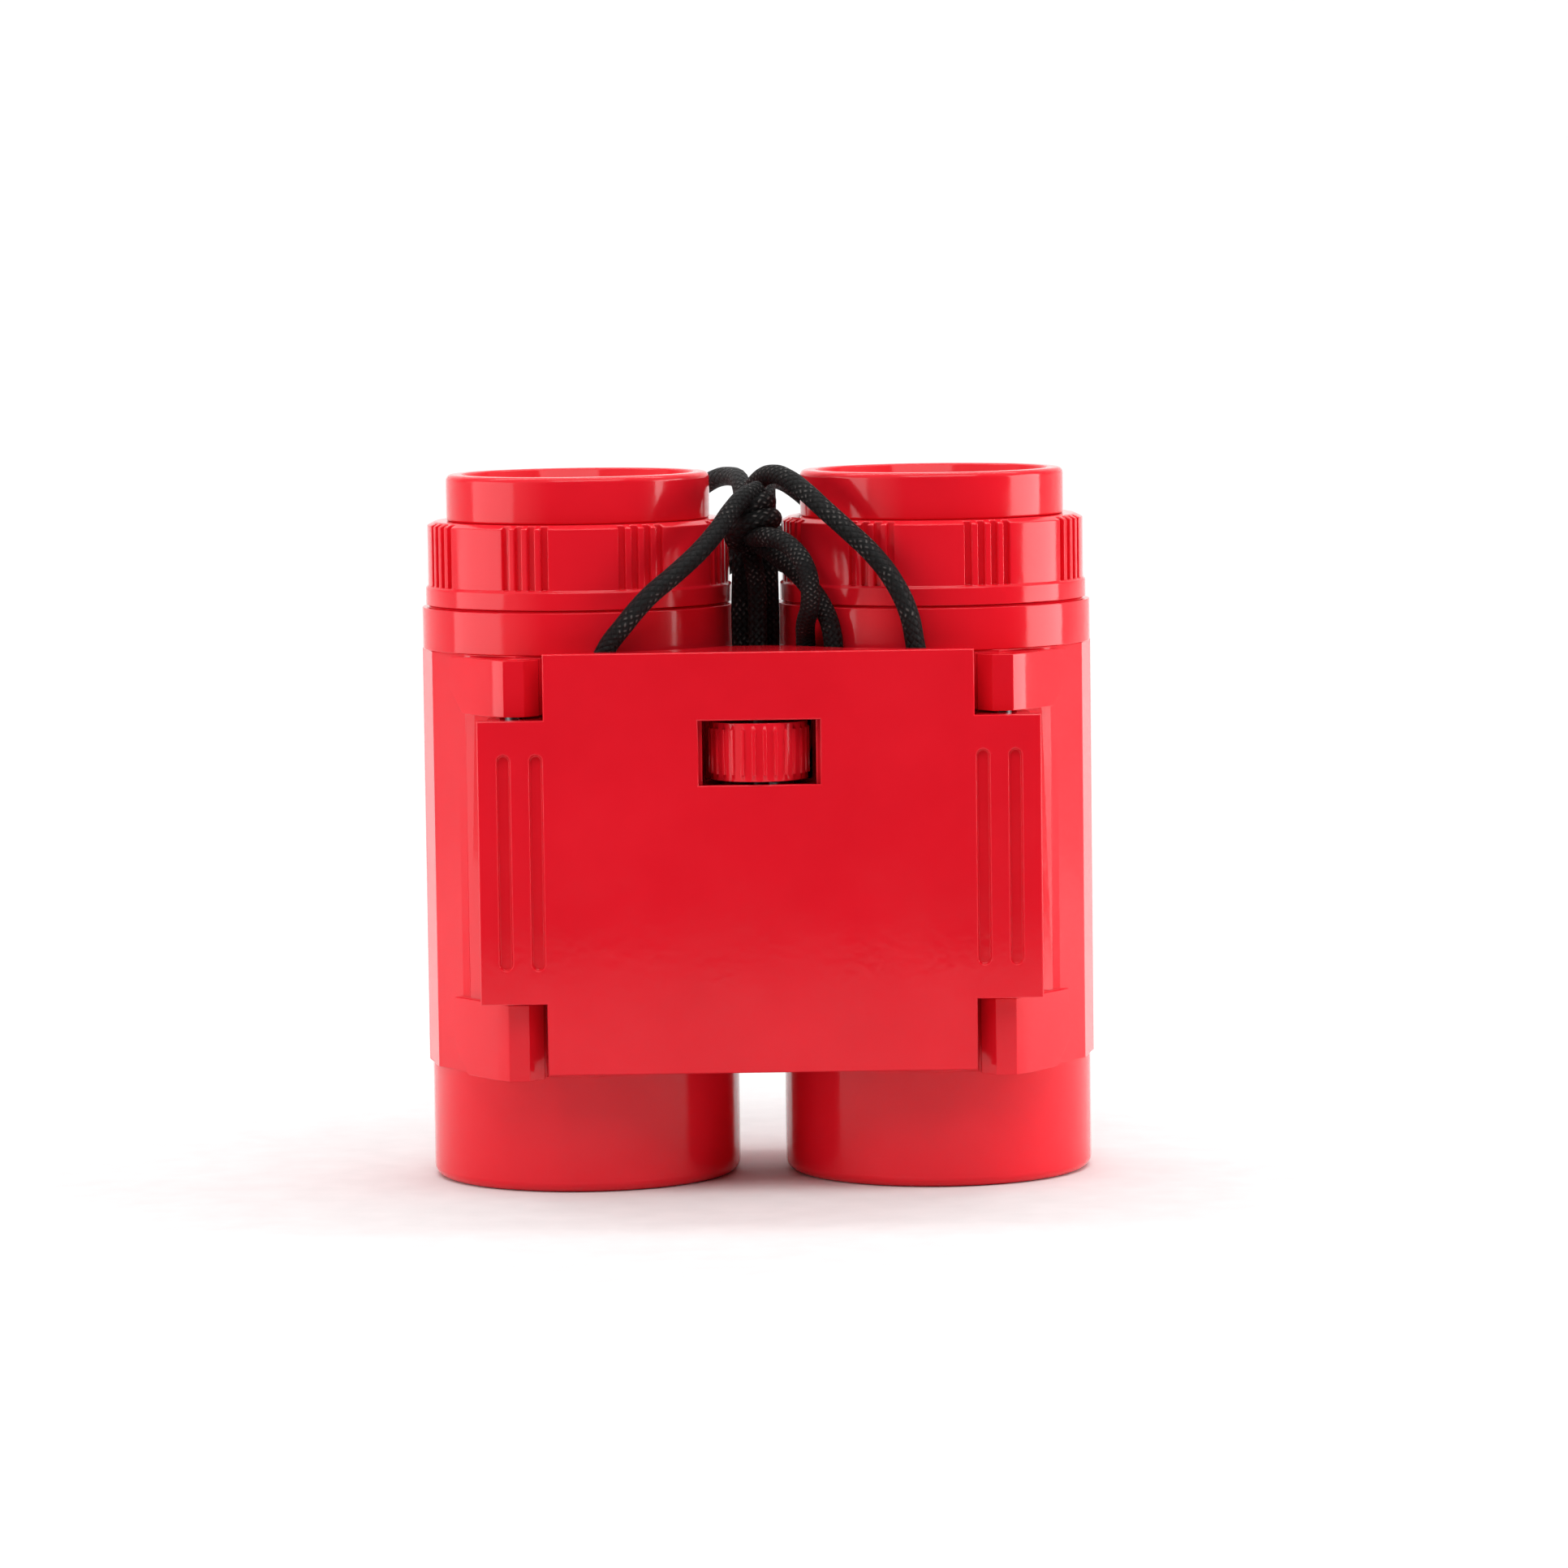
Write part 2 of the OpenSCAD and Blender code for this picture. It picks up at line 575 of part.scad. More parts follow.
module bridge_cover() {
    inner_y = front_y + front_wall;
    pocket_h = plate_h - 2 * end_wall;
    rib_z = stopper_place[2] + 2.4;
    rib_h = 2;
    rib_x = tray_half_w + move_gap;
    color(red) difference() {
        union() {
            difference() {
                translate([0, 0, plate_z]) linear_extrude(plate_h) bridge_outline(bridge_r);
                translate([-pocket_half_w, inner_y, plate_z + end_wall])
                    cube([2 * pocket_half_w, bridge_depth, pocket_h]);
            }
            for (s = [0, 1]) mirror([s, 0, 0]) {
                translate([0, 0, wing_z]) linear_extrude(wing_top - wing_z) wing_outline();
                translate([0, 0, rib_z]) linear_extrude(rib_h) intersection() {
                    bridge_outline(housing_r + bridge_gap / 3);
                    translate([rib_x, inner_y - eps]) square([pocket_half_w - rib_x + eps, bridge_depth]);
                }
            }
            // Ribs that carry the wheel's axle
            for (s = [-1, 1])
                translate([-axle_rib_w / 2, inner_y - eps,
                    wheel_z + s * (window_h + axle_rib) / 2 - axle_rib / 2])
                    cube([axle_rib_w, wheel_y + axle_r + axle_wall - inner_y + eps, axle_rib]);
            // Bosses for the screws of the rear tray
            for (z = screw_zs) translate([0, inner_y - eps, z]) rotate([-90, 0, 0])
                cylinder(r = boss_r, h = rear_y - tray_wall - inner_y);
        }
        translate([-window_w / 2, front_y - eps, wheel_z - window_h / 2])
            cube([window_w, front_wall + 2 * eps, window_h]);
        for (s = [-1, 1]) for (k = [0, 1]) wing_groove(s * (wing_groove_x + k * wing_groove_pitch));
        for (s = [-1, 1]) translate([s * hinge_x, hinge_y, wing_z - eps])
            cylinder(r = pin_r + fixed_fit, h = wing_top - wing_z + 2 * eps);
        for (s = [-1, 1]) translate([s * stopper_place[0], stopper_place[1], rib_z - eps])
            cylinder(r = cord_d / 2 + 0.1, h = rib_h + 2 * eps);
        translate([0, wheel_y, wheel_z - axle_half - eps])
            cylinder(r = axle_r + run_fit, h = 2 * axle_half + 2 * eps);
        for (z = screw_zs) translate([0, rear_y - tray_wall - screw_bite - screw_r, z]) rotate([-90, 0, 0])
            cylinder(r = screw_r + fixed_fit, h = screw_bite + screw_r + eps);
    }
}

// Rear tray: closes the wheel's room behind, with a slot for the wheel
module bridge_back() {
    inner_y = front_y + front_wall;
    tray_z = plate_z + end_wall + fixed_fit;
    tray_h = plate_h - 2 * end_wall - 2 * fixed_fit;
    slot_h = wheel_h + 2 * move_gap;
    slot_half = wheel_r + move_gap;
    color(red) difference() {
        translate([0, 0, tray_z]) linear_extrude(tray_h) difference() {
            intersection() {
                bridge_outline(bridge_r);
                translate([-tray_half_w, inner_y + fixed_fit]) square([2 * tray_half_w, bridge_depth]);
            }
            intersection() {
                bridge_outline(bridge_r + tray_wall);
                translate([-tray_half_w + tray_wall, front_y])
                    square([2 * (tray_half_w - tray_wall), bridge_depth - tray_wall]);
            }
        }
        translate([-slot_half, wheel_y, wheel_z - slot_h / 2]) cube([2 * slot_half, bridge_depth, slot_h]);
        for (z = screw_zs) translate([0, rear_y - tray_wall - eps, z]) rotate([-90, 0, 0])
            cylinder(r = screw_r + 0.1, h = tray_wall + 2 * eps);
    }
}

module bridge_screws() {
    color(steel) for (z = screw_zs) translate([0, rear_y, z]) rotate([-90, 0, 0]) {
        cylinder(r = screw_head_r, h = screw_head_h);
        translate([0, 0, -tray_wall - screw_bite]) cylinder(r = screw_r, h = tray_wall + screw_bite + eps);
    }
}

module hinge_pin(side) {
    color(steel) translate([side * hinge_x, hinge_y, housing_z + 0.4])
        cylinder(r = pin_r, h = upper_lug_z + upper_lug_h - end_wall - housing_z - 0.6);
}

module focus_wheel() {
    color(red) translate([0, wheel_y, wheel_z - wheel_h / 2]) difference() {
        union() {
            cylinder(r = wheel_r - wheel_notch / 2, h = wheel_h);
            translate([0, 0, wheel_rim]) linear_extrude(wheel_h - 2 * wheel_rim) difference() {
                circle(r = wheel_r);
                for (k = [0 : wheel_ribs - 1]) rotate(360 * k / wheel_ribs)
                    translate([wheel_r, 0]) circle(r = wheel_notch, $fn = 16);
            }
        }
        translate([0, 0, -eps]) cylinder(r = axle_r + fixed_fit, h = wheel_h + 2 * eps);
    }
}

module wheel_axle() {
    color(steel) translate([0, wheel_y, wheel_z - axle_half]) cylinder(r = axle_r, h = 2 * axle_half);
}

module strand(p) {
    color(black) tube_along(p, cord_d / 2, strand_sides, [0, 1, 0.2]);
}

function mirrored(p) = [for (q = p) [-q[0], q[1], q[2]]];

module cord_left() {
    strand(concat(mirrored(strand_foot), left_rise));
}

module cord_right() {
    strand(concat(strand_foot, right_rise));
}

module cord_loop_a() {
    strand(loop_a_route);
}

module cord_loop_b() {
    strand(loop_b_route);
}

// Main knot: a ball drawn out along Z
module cord_knot() {
    color(black) translate(knot_place) rotate_extrude() intersection() {
        translate([0, knot_h / 2]) union() {
            translate([0, knot_h / 2 - knot_r]) circle(r = knot_r);
            translate([0, knot_r - knot_h / 2]) circle(r = knot_r);
            square([2 * knot_r, knot_h - 2 * knot_r], center = true);
        }
        square([knot_r, knot_h]);
    }
}

module cord_hank() {
    color(black) tube_along(hank_path(hank_rings), cord_d / 2, hank_sides, [0, 1, 0]);
}

// Tie: a flat band with round corners round the hank's waist
module cord_tie() {
    in_x0 = hank_place[0] - (hank_fold_r + hank_step * hank_out_turns - hank_waist) - cord_d / 2;
    in_x1 = hank_place[0] + hank_fold_r + hank_step * hank_in_turns - hank_waist + cord_d / 2;
    in_y0 = hank_place[1] - cord_d / 2 - move_gap;
    in_y1 = hank_place[1] + hank_step + cord_d / 2 + move_gap;
    color(black) translate([0, 0, hank_place[2] - tie_h / 2]) linear_extrude(tie_h) difference() {
        union() {
            translate([in_x0 - tie_t, in_y0]) square([in_x1 - in_x0 + 2 * tie_t, in_y1 - in_y0]);
            translate([in_x0, in_y0 - tie_t]) square([in_x1 - in_x0, in_y1 - in_y0 + 2 * tie_t]);
            for (x = [in_x0, in_x1]) for (y = [in_y0, in_y1]) translate([x, y]) circle(r = tie_t);
        }
        translate([in_x0, in_y0]) square([in_x1 - in_x0, in_y1 - in_y0]);
    }
}

module cord_stoppers() {
    color(black) for (s = [0, 1]) mirror([s, 0, 0]) translate(stopper_place) difference() {
        translate([0, 0, -stopper_r * 0.8]) sphere(r = stopper_r);
        translate([-stopper_r, -stopper_r, 0]) cube([2 * stopper_r, 2 * stopper_r, stopper_r]);
    }
}

bridge_cover();
bridge_back();
bridge_screws();
hinge_pin(-1);  // left_hinge_pin
hinge_pin(1);  // right_hinge_pin
focus_wheel();
wheel_axle();
barrel_housing(-1);  // left_barrel_housing
objective_tube(-1);  // left_objective_tube
objective_lens(-1);  // left_objective_lens
objective_ring(-1);  // left_objective_ring
eyepiece_collar(-1);  // left_eyepiece_collar
lens_cell(-1);  // left_lens_cell
eye_lens(-1);  // left_eye_lens
focus_ring(-1);  // left_focus_ring
eyecup(-1);  // left_eyecup
barrel_housing(1);  // right_barrel_housing
objective_tube(1);  // right_objective_tube
objective_lens(1);  // right_objective_lens
objective_ring(1);  // right_objective_ring
eyepiece_collar(1);  // right_eyepiece_collar
lens_cell(1);  // right_lens_cell
eye_lens(1);  // right_eye_lens
focus_ring(1);  // right_focus_ring
eyecup(1);  // right_eyecup
cord_left();
cord_right();
cord_knot();
cord_loop_a();
cord_loop_b();
cord_hank();
cord_tie();
cord_stoppers();
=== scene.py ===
# %% [markdown]
# # Folding toy binoculars in red plastic
# The toy stands on its two objective tubes, folded, with its black neck cord knotted between the eyecups.
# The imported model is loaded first. It is the fixed frame that every piece below is fitted to, in metres.

# %% Load the frame
import json
import math

import bmesh
import bpy
from mathutils import Matrix, Vector


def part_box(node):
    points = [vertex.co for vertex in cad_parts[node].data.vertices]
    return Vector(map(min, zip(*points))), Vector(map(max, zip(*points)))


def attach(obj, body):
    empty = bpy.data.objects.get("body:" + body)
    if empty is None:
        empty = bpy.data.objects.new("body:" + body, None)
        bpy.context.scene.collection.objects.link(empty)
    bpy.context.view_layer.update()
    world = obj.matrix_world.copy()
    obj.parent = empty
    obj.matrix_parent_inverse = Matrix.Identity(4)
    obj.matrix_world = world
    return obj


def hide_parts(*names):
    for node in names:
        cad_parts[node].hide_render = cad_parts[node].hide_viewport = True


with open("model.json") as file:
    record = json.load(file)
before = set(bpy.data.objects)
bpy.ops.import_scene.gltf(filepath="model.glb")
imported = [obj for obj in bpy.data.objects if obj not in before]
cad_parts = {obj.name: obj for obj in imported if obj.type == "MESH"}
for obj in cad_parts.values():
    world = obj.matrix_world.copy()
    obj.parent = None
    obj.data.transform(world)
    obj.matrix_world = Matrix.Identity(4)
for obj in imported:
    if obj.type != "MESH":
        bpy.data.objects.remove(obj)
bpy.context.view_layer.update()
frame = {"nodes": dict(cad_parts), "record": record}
MM = 0.001

# %% [markdown]
# ## Camera
# A long lens about 0.8 m away looks slightly down on the bridge's flat front plate.
# Track-to constraints are handy for this, but the place, pitch, yaw and roll are known here,
# so the camera's three axes are written straight into its matrix.

# %% Place the camera
camera_place = Vector((-4.72, -823.81, 123.75)) * MM
pitch, yaw, roll = (math.radians(a) for a in (5.064, 0.558, -0.753))
side = Vector((math.cos(yaw), -math.sin(yaw), 0))
ahead = Vector((math.cos(pitch) * math.sin(yaw), math.cos(pitch) * math.cos(yaw), -math.sin(pitch)))
above = side.cross(ahead)
right = math.cos(roll) * side + math.sin(roll) * above
up = math.cos(roll) * above - math.sin(roll) * side

camera = bpy.data.objects.new("camera", bpy.data.cameras.new("camera"))
camera.data.sensor_width = 36
camera.data.lens = 145.98
camera.data.clip_start, camera.data.clip_end = 0.05, 20
camera.matrix_world = Matrix.Translation(camera_place) @ Matrix((right, up, -ahead)).transposed().to_4x4()
bpy.context.scene.collection.objects.link(camera)
bpy.context.scene.camera = camera
print("camera at", [round(x, 3) for x in camera_place], "lens", camera.data.lens)

# %% [markdown]
# ## Node helpers
# Every finish below is a small node graph. Four helpers keep the graphs short: they start a material with
# its shader, add a node with its settings and links, work out one sum and make a colour ramp.

# %% Start a material, add its nodes
def new_finish(name):
    material = bpy.data.materials.new(name)
    material.use_nodes = True
    return material, material.node_tree, material.node_tree.nodes["Principled BSDF"]


def add(tree, kind, settings=None, **inputs):
    """A node of that kind: settings are its properties, inputs its sockets' values or links.

    A socket goes by its name, or by i0, i1 and so on for its number.
    """
    node = tree.nodes.new("ShaderNode" + kind)
    for key, value in (settings or {}).items():
        setattr(node, key, value)
    for key, value in inputs.items():
        socket = node.inputs[int(key[1:])] if key[0] == "i" and key[1:].isdigit() else node.inputs[key]
        if isinstance(value, bpy.types.NodeSocket):
            tree.links.new(value, socket)
        else:
            socket.default_value = value
    return node


def sums(tree, operation, a, b=0.0):
    return add(tree, "Math", {"operation": operation}, i0=a, i1=b).outputs[0]


def ramp(tree, value, *stops):
    """A colour ramp: each stop is a place and a colour."""
    node = add(tree, "ValToRGB", i0=value)
    while len(node.color_ramp.elements) < len(stops):
        node.color_ramp.elements.new(1.0)
    for element, (place, colour) in zip(node.color_ramp.elements, stops):
        element.position, element.color = place, (*colour, 1)
    return node.outputs[0]

# %% [markdown]
# ## Stage
# The toy stands on a white sweep: a floor that curves up into a back wall, so no horizon shows.
# A plane and a wall would leave a line. One edge is extruded along the floor, spun through a
# quarter turn and extruded up, which is how a paper sweep hangs in a studio.

# %% Build the white sweep
half_width, front, floor_end, bend_r, bend_steps, wall_height = 4, -0.28, 1.0, 0.8, 24, 2.0


def points_of(parts):
    return [p for p in parts if isinstance(p, bmesh.types.BMVert)]


def edges_of(parts):
    return [p for p in parts if isinstance(p, bmesh.types.BMEdge)]


def white_sweep():
    bm = bmesh.new()
    edge = bm.edges.new([bm.verts.new((x, front, 0)) for x in (-half_width, half_width)])
    flat = bmesh.ops.extrude_edge_only(bm, edges=[edge])["geom"]
    bmesh.ops.translate(bm, vec=(0, floor_end - front, 0), verts=points_of(flat))
    far_edge = [e for e in edges_of(flat) if all(v.co.y > floor_end / 2 for v in e.verts)]
    bend = bmesh.ops.spin(bm, geom=far_edge + list(far_edge[0].verts), cent=(0, floor_end, bend_r),
                          axis=(1, 0, 0), angle=math.radians(90), steps=bend_steps)["geom_last"]
    wall = bmesh.ops.extrude_edge_only(bm, edges=edges_of(bend))["geom"]
    bmesh.ops.translate(bm, vec=(0, 0, wall_height), verts=points_of(wall))
    for face in bm.faces:
        face.smooth = True
    bmesh.ops.recalc_face_normals(bm, faces=bm.faces)
    mesh = bpy.data.meshes.new("white_sweep")
    bm.to_mesh(mesh)
    bm.free()
    return bpy.data.objects.new("white_sweep", mesh)


sweep = white_sweep()
bpy.context.scene.collection.objects.link(sweep)
paper, tree, shader = new_finish("sweep_paper")
where = add(tree, "TexCoord").outputs["Object"]
grain = add(tree, "TexNoise", Vector=where, Scale=180.0, Detail=4.0).outputs["Fac"]
tree.links.new(ramp(tree, grain, (0.3, (0.70,) * 3), (0.7, (0.74,) * 3)), shader.inputs["Base Color"])
shader.inputs["Roughness"].default_value = 0.9
sweep.data.materials.append(paper)
print("sweep faces:", len(sweep.data.polygons))

# %% [markdown]
# ## Light
# Glossy plastic shows its lights as reflections, so their shapes matter more than their power.
# Two low soft boxes stand close by, left and right, because the upright walls of the toy mirror what lies
# near the table. A wide box hangs above, and another lights the wall of the sweep. The room is white at its
# sides and back and dim behind the camera: the round parts pick up a pale sheen at their edges, and the flat
# front plate, which looks straight back at the camera, stays a deep red.

# %% Hang the soft boxes
def soft_box(name, place, aim, width, height, power):
    light = bpy.data.lights.new(name, "AREA")
    light.shape, light.size, light.size_y, light.energy = "RECTANGLE", width, height, power
    lamp = bpy.data.objects.new(name, light)
    turn = (Vector(aim) - Vector(place)).to_track_quat("-Z", "Y")
    lamp.matrix_world = Matrix.Translation(place) @ turn.to_matrix().to_4x4()
    bpy.context.scene.collection.objects.link(lamp)
    return lamp


middle = (0, 0, 0.05)
soft_box("right_box", (0.40, -0.015, 0.115), middle, 0.25, 0.22, 0.94)
soft_box("left_box", (-0.40, -0.073, 0.115), middle, 0.33, 0.22, 0.54)
soft_box("top_box", (0.15, -0.75, 1.25), middle, 1.3, 0.8, 10.3)
soft_box("wall_box", (0, 0.7, 1.9), (0, 1.7, 0.9), 3.0, 0.6, 40)

camera_side = (0.29, -0.96, 0)
world = bpy.data.worlds.new("studio")
world.use_nodes = True
tree = world.node_tree
outward = add(tree, "TexCoord").outputs["Generated"]
facing = add(tree, "VectorMath", {"operation": "DOT_PRODUCT"}, i0=outward, i1=camera_side)
room = ramp(tree, facing.outputs["Value"], (0.40, (0.80,) * 3), (0.75, (0.05,) * 3))
tree.links.new(room, tree.nodes["Background"].inputs["Color"])
bpy.context.scene.world = world
bpy.context.scene.view_settings.view_transform = "Standard"

# %% [markdown]
# ## Neck cord
# The cord is a soft braided tube of polyester, 2.5 mm thick. A curve with a round bevel gives the tube,
# and a mesh made from it gives each point a place round and along the cord, so the braid follows every bend.
# The routes are the ones that the frame's solids follow.

# %% A cord along a route
cord_r = 1.25 * MM


def smooth_line(route, steps):
    """A smooth curve through the route's points in mm, with that many steps from point to point."""
    data = bpy.data.curves.new("line", "CURVE")
    data.dimensions, data.resolution_u = "3D", steps
    spline = data.splines.new("BEZIER")
    spline.bezier_points.add(len(route) - 1)
    for point, place in zip(spline.bezier_points, route):
        point.co = Vector(place) * MM
        point.handle_left_type = point.handle_right_type = "AUTO"
    return data


def mesh_of(data):
    """The curve as a mesh, by way of an object that is removed again."""
    holder = bpy.data.objects.new("holder", data)
    bpy.context.scene.collection.objects.link(holder)
    mesh = bpy.data.meshes.new_from_object(holder.evaluated_get(bpy.context.evaluated_depsgraph_get()))
    bpy.data.objects.remove(holder)
    return mesh


def line_length(points):
    return sum((b - a).length for a, b in zip(points, points[1:]))


def cord_along(name, route, steps=8):
    """The cord's tube as an object, and its middle line as points."""
    data = smooth_line(route, steps)
    line = [v.co.copy() for v in mesh_of(data).vertices]
    data.bevel_depth, data.bevel_resolution, data.use_fill_caps = cord_r, 6, True
    mesh = mesh_of(data)
    bpy.data.curves.remove(data)
    turns = line_length(line) / (2 * math.pi * cord_r)
    for corner in mesh.uv_layers[0].data:
        corner.uv.x *= turns
    mesh.shade_smooth()
    piece = bpy.data.objects.new(name, mesh)
    bpy.context.scene.collection.objects.link(piece)
    return piece, line

# %% [markdown]
# ## Braid
# Two sets of flat yarns wind round the cord in opposite directions and pass over and under each other.
# Seen close, each crossing is a small pillow of yarn. Two sines of the cord's own map, multiplied,
# give those pillows, and fine lines along each yarn give its filaments. Lighter streaks on the yarn crowns
# are a painted sheen, shown only in random patches.

# %% Braided polyester
def braided_cord():
    material, tree, shader = new_finish("braided_polyester")
    place = add(tree, "SeparateXYZ", i0=add(tree, "UVMap").outputs["UV"])
    along, round_it = place.outputs["X"], place.outputs["Y"]
    yarns, filaments, thread_depth, pillow_round = 8.0, 14.0, 0.10, 0.6
    sheen_wide, sheen_slim = 0.7, 3.0
    one_way = sums(tree, "MULTIPLY", sums(tree, "ADD", round_it, along), yarns * math.pi)
    other_way = sums(tree, "MULTIPLY", sums(tree, "SUBTRACT", round_it, along), yarns * math.pi)
    wave, cross_wave = sums(tree, "SINE", one_way), sums(tree, "SINE", other_way)
    weave = sums(tree, "MULTIPLY", wave, cross_wave)
    pillow = sums(tree, "POWER", sums(tree, "ABSOLUTE", weave), pillow_round)
    over = sums(tree, "GREATER_THAN", weave, 0.0)
    filament = add(tree, "Mix", {"data_type": "FLOAT"}, i0=over, i2=other_way, i3=one_way).outputs[0]
    threads = sums(tree, "SINE", sums(tree, "MULTIPLY", filament, filaments))
    height = sums(tree, "ADD", pillow, sums(tree, "MULTIPLY", threads, thread_depth))
    # Painted sheen: a lighter streak along the crown of each yarn pillow, the shape of a glint.
    sheen_streaks = [sums(tree, "MULTIPLY", sums(tree, "POWER", sums(tree, "ABSOLUTE", wide), sheen_wide),
                   sums(tree, "POWER", sums(tree, "ABSOLUTE", slim), sheen_slim))
              for wide, slim in ((wave, cross_wave), (cross_wave, wave))]
    crown_sheen = add(tree, "Mix", {"data_type": "FLOAT"}, i0=over, i2=sheen_streaks[0], i3=sheen_streaks[1]).outputs[0]
    where = add(tree, "TexCoord").outputs["Object"]
    wear_and_sheen = add(tree, "TexNoise", Vector=where, Scale=330.0, Detail=2.0).outputs["Fac"]
    # This noise varies the roughness, and also keeps the painted sheen streaks to random patches.
    sheen_patches = ramp(tree, wear_and_sheen, (0.34, (0.10,) * 3), (0.62, (1.0,) * 3))
    shade = ramp(tree, sums(tree, "MULTIPLY", crown_sheen, sheen_patches), (0.15, (0.0012, 0.0011, 0.0012)),
                 (0.50, (0.010, 0.009, 0.009)), (0.90, (0.11, 0.098, 0.092)))
    tree.links.new(shade, shader.inputs["Base Color"])
    tree.links.new(ramp(tree, wear_and_sheen, (0.2, (0.50,) * 3), (0.8, (0.70,) * 3)), shader.inputs["Roughness"])
    bump = add(tree, "Bump", Strength=1.0, Distance=0.00025, Height=height)
    tree.links.new(bump.outputs[0], shader.inputs["Normal"])
    shader.inputs["Specular IOR Level"].default_value = 0.25
    return material


braid = braided_cord()


def on_bridge(piece, *nodes):
    piece.data.materials.clear()
    piece.data.materials.append(braid)
    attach(piece, "bridge")
    if nodes:
        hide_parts(*nodes)
    return piece

# %% [markdown]
# ## The two strands in front
# Each strand comes up from a stopper knot in the bridge, leans over the bridge's top edge
# and runs to the main knot.

# %% Left and right strand
strand_foot = [(14, -19, 48), (14, -19, 52.6), (15.3, -19, 56), (17.8, -18.6, 59.8), (19.9, -18.7, 63.6)]
left_rise = [(-20.3, -18.8, 67), (-19.2, -18.9, 69.9), (-17, -19, 72.8), (-13.8, -18.6, 76.4),
             (-10.4, -17.4, 79.2), (-7.2, -15.4, 82), (-4.9, -13.6, 84.5), (-3.1, -12.1, 86.9),
             (-1.4, -10.4, 88.6), (0.4, -8.4, 89.4)]
right_rise = [(20.5, -18.8, 67), (20, -18.9, 70), (19.2, -19, 74), (17.3, -18.3, 78.1), (14.8, -17.1, 81.4),
              (11.8, -15.5, 84.3), (8.8, -13.4, 87), (6.4, -11.1, 89.2), (4.2, -8.6, 90.8), (2.2, -6.2, 91.3),
              (0.5, -4.1, 90.4), (-0.7, -2.9, 88.3), (-1.1, -3, 85.6), (-0.9, -4.1, 82.6), (-0.3, -5.4, 79.6),
              (0.1, -6.2, 76.4), (0.1, -6.4, 72.8), (0.1, -6.4, 69), (0.1, -6.3, 65), (0.1, -6.2, 61.5)]
left_route = [(-x, y, z) for x, y, z in strand_foot] + left_rise
right_route = strand_foot + right_rise
for name, route in (("cord_left_strand", left_route), ("cord_right_strand", right_route)):
    strand, line = cord_along(name, route)
    on_bridge(strand, "cord_left" if "left" in name else "cord_right")
    print(name, "length", round(line_length(line), 4))

# %% [markdown]
# ## The long loop and its hank
# From the knot the cord goes down behind the bridge, up through the gap between the barrels and over to
# the back, where its length is folded into a flat hank. The folds are a formula: a long loop with round ends
# that steps inwards turn by turn, climbs to a second layer and steps out again, drawn in at the tie.

# %% The neck cord in one length
loop_a = [(-0.2, -9.8, 83.4), (2.3, -12.8, 83.4), (4.6, -15.1, 82.2), (6.2, -16.4, 79.9), (6.8, -16.6, 77.1),
          (6.7, -15.7, 74.6), (6.2, -13.8, 72.5), (6.2, -12, 70.4), (6.2, -11.1, 68), (6, -10.9, 65.2),
          (5.7, -10.8, 62), (5.5, -10.6, 59.4), (5.1, -9.9, 56.8), (4.2, -8.3, 54.9), (3.05, -6.05, 54.2),
          (2.1, -3.8, 54.9), (1.6, -2.1, 56.8), (1.4, -1.4, 59.6), (1.45, -1.6, 63), (1.6, -2.4, 66.6),
          (1.7, -3.1, 70), (1.7, -3.2, 74), (1.65, -2.7, 78), (1.55, -1.4, 82.4), (1.5, 1, 87),
          (1.6, 4.8, 89.6), (2.6, 10.4, 90), (5.2, 16, 88.6), (8.8, 20.6, 84.8), (11.6, 22.6, 79.6),
          (12.6, 22.9, 74)]
loop_b = [(0.7, -7.2, 82.2), (2.6, -9, 81), (4.8, -10.6, 79.2), (6.8, -11.9, 77), (8.5, -13.3, 74.4),
          (9.5, -14.4, 71.5), (9.7, -14.6, 68), (9.4, -14.5, 64.5), (8.7, -13.8, 60), (7.6, -12.7, 55),
          (6.2, -11.2, 50.6), (3.2, -7, 48), (-0.1, -3, 50), (-1.4, -1.4, 55), (-1.5, -1.7, 60),
          (-1.75, -2.8, 65), (-1.95, -3.8, 69.6), (-2, -3.9, 74), (-1.85, -3, 78.6), (-1.6, -1.2, 83),
          (-1.5, 1, 86.8), (-1.7, 4.8, 89.4), (-2.8, 10.6, 90.4), (-6, 17, 89.4), (-10.4, 23, 85),
          (-13.2, 25.9, 79.4), (-14.3, 26.3, 74)]
hank_place = Vector((0, 22.9, 54))
hank_run, fold_r, hank_step, waist, waist_reach = 34, 7.5, 3.4, 5.4, 11
turns_in, turns_climb, turns_out = 1.5, 0.25, 2


def hank_point(turn):
    stretch, half = (turn % 1) * 4, hank_run / 2
    r = fold_r + hank_step * (turns_in - turn if turn < turns_in else max(0, turn - turns_in - turns_climb))
    swing = math.pi * (stretch % 1)
    x, z = [(r, half - hank_run * stretch),
            (r * math.cos(swing), -half - r * math.sin(swing)),
            (-r, -half + hank_run * (stretch - 2)),
            (-r * math.cos(swing), half + r * math.sin(swing))][int(stretch)]
    climb = min(1, max(0, (turn - turns_in) / turns_climb))
    draw = waist * math.exp(-(z / waist_reach) ** 2)
    return hank_place + Vector((x * (1 - draw / r), hank_step * climb * climb * (3 - 2 * climb), z))


per_turn = 32
hank = [hank_point(i / per_turn) for i in range(int((turns_in + turns_climb + turns_out) * per_turn) + 1)]
neck_cord, line = cord_along("cord_neck_loop", loop_a + hank + loop_b[::-1], steps=5)
on_bridge(neck_cord, "cord_loop_a", "cord_loop_b", "cord_hank")
print("neck cord length", round(line_length(line), 4), "triangles", 2 * len(neck_cord.data.polygons))

# %% [markdown]
# ## Main knot
# The four strands meet in one overhand knot, drawn tight. A ball would look like a bead, so the knot is
# the cord itself again: a short route that wraps the strands about two and a half times and tucks its end in.

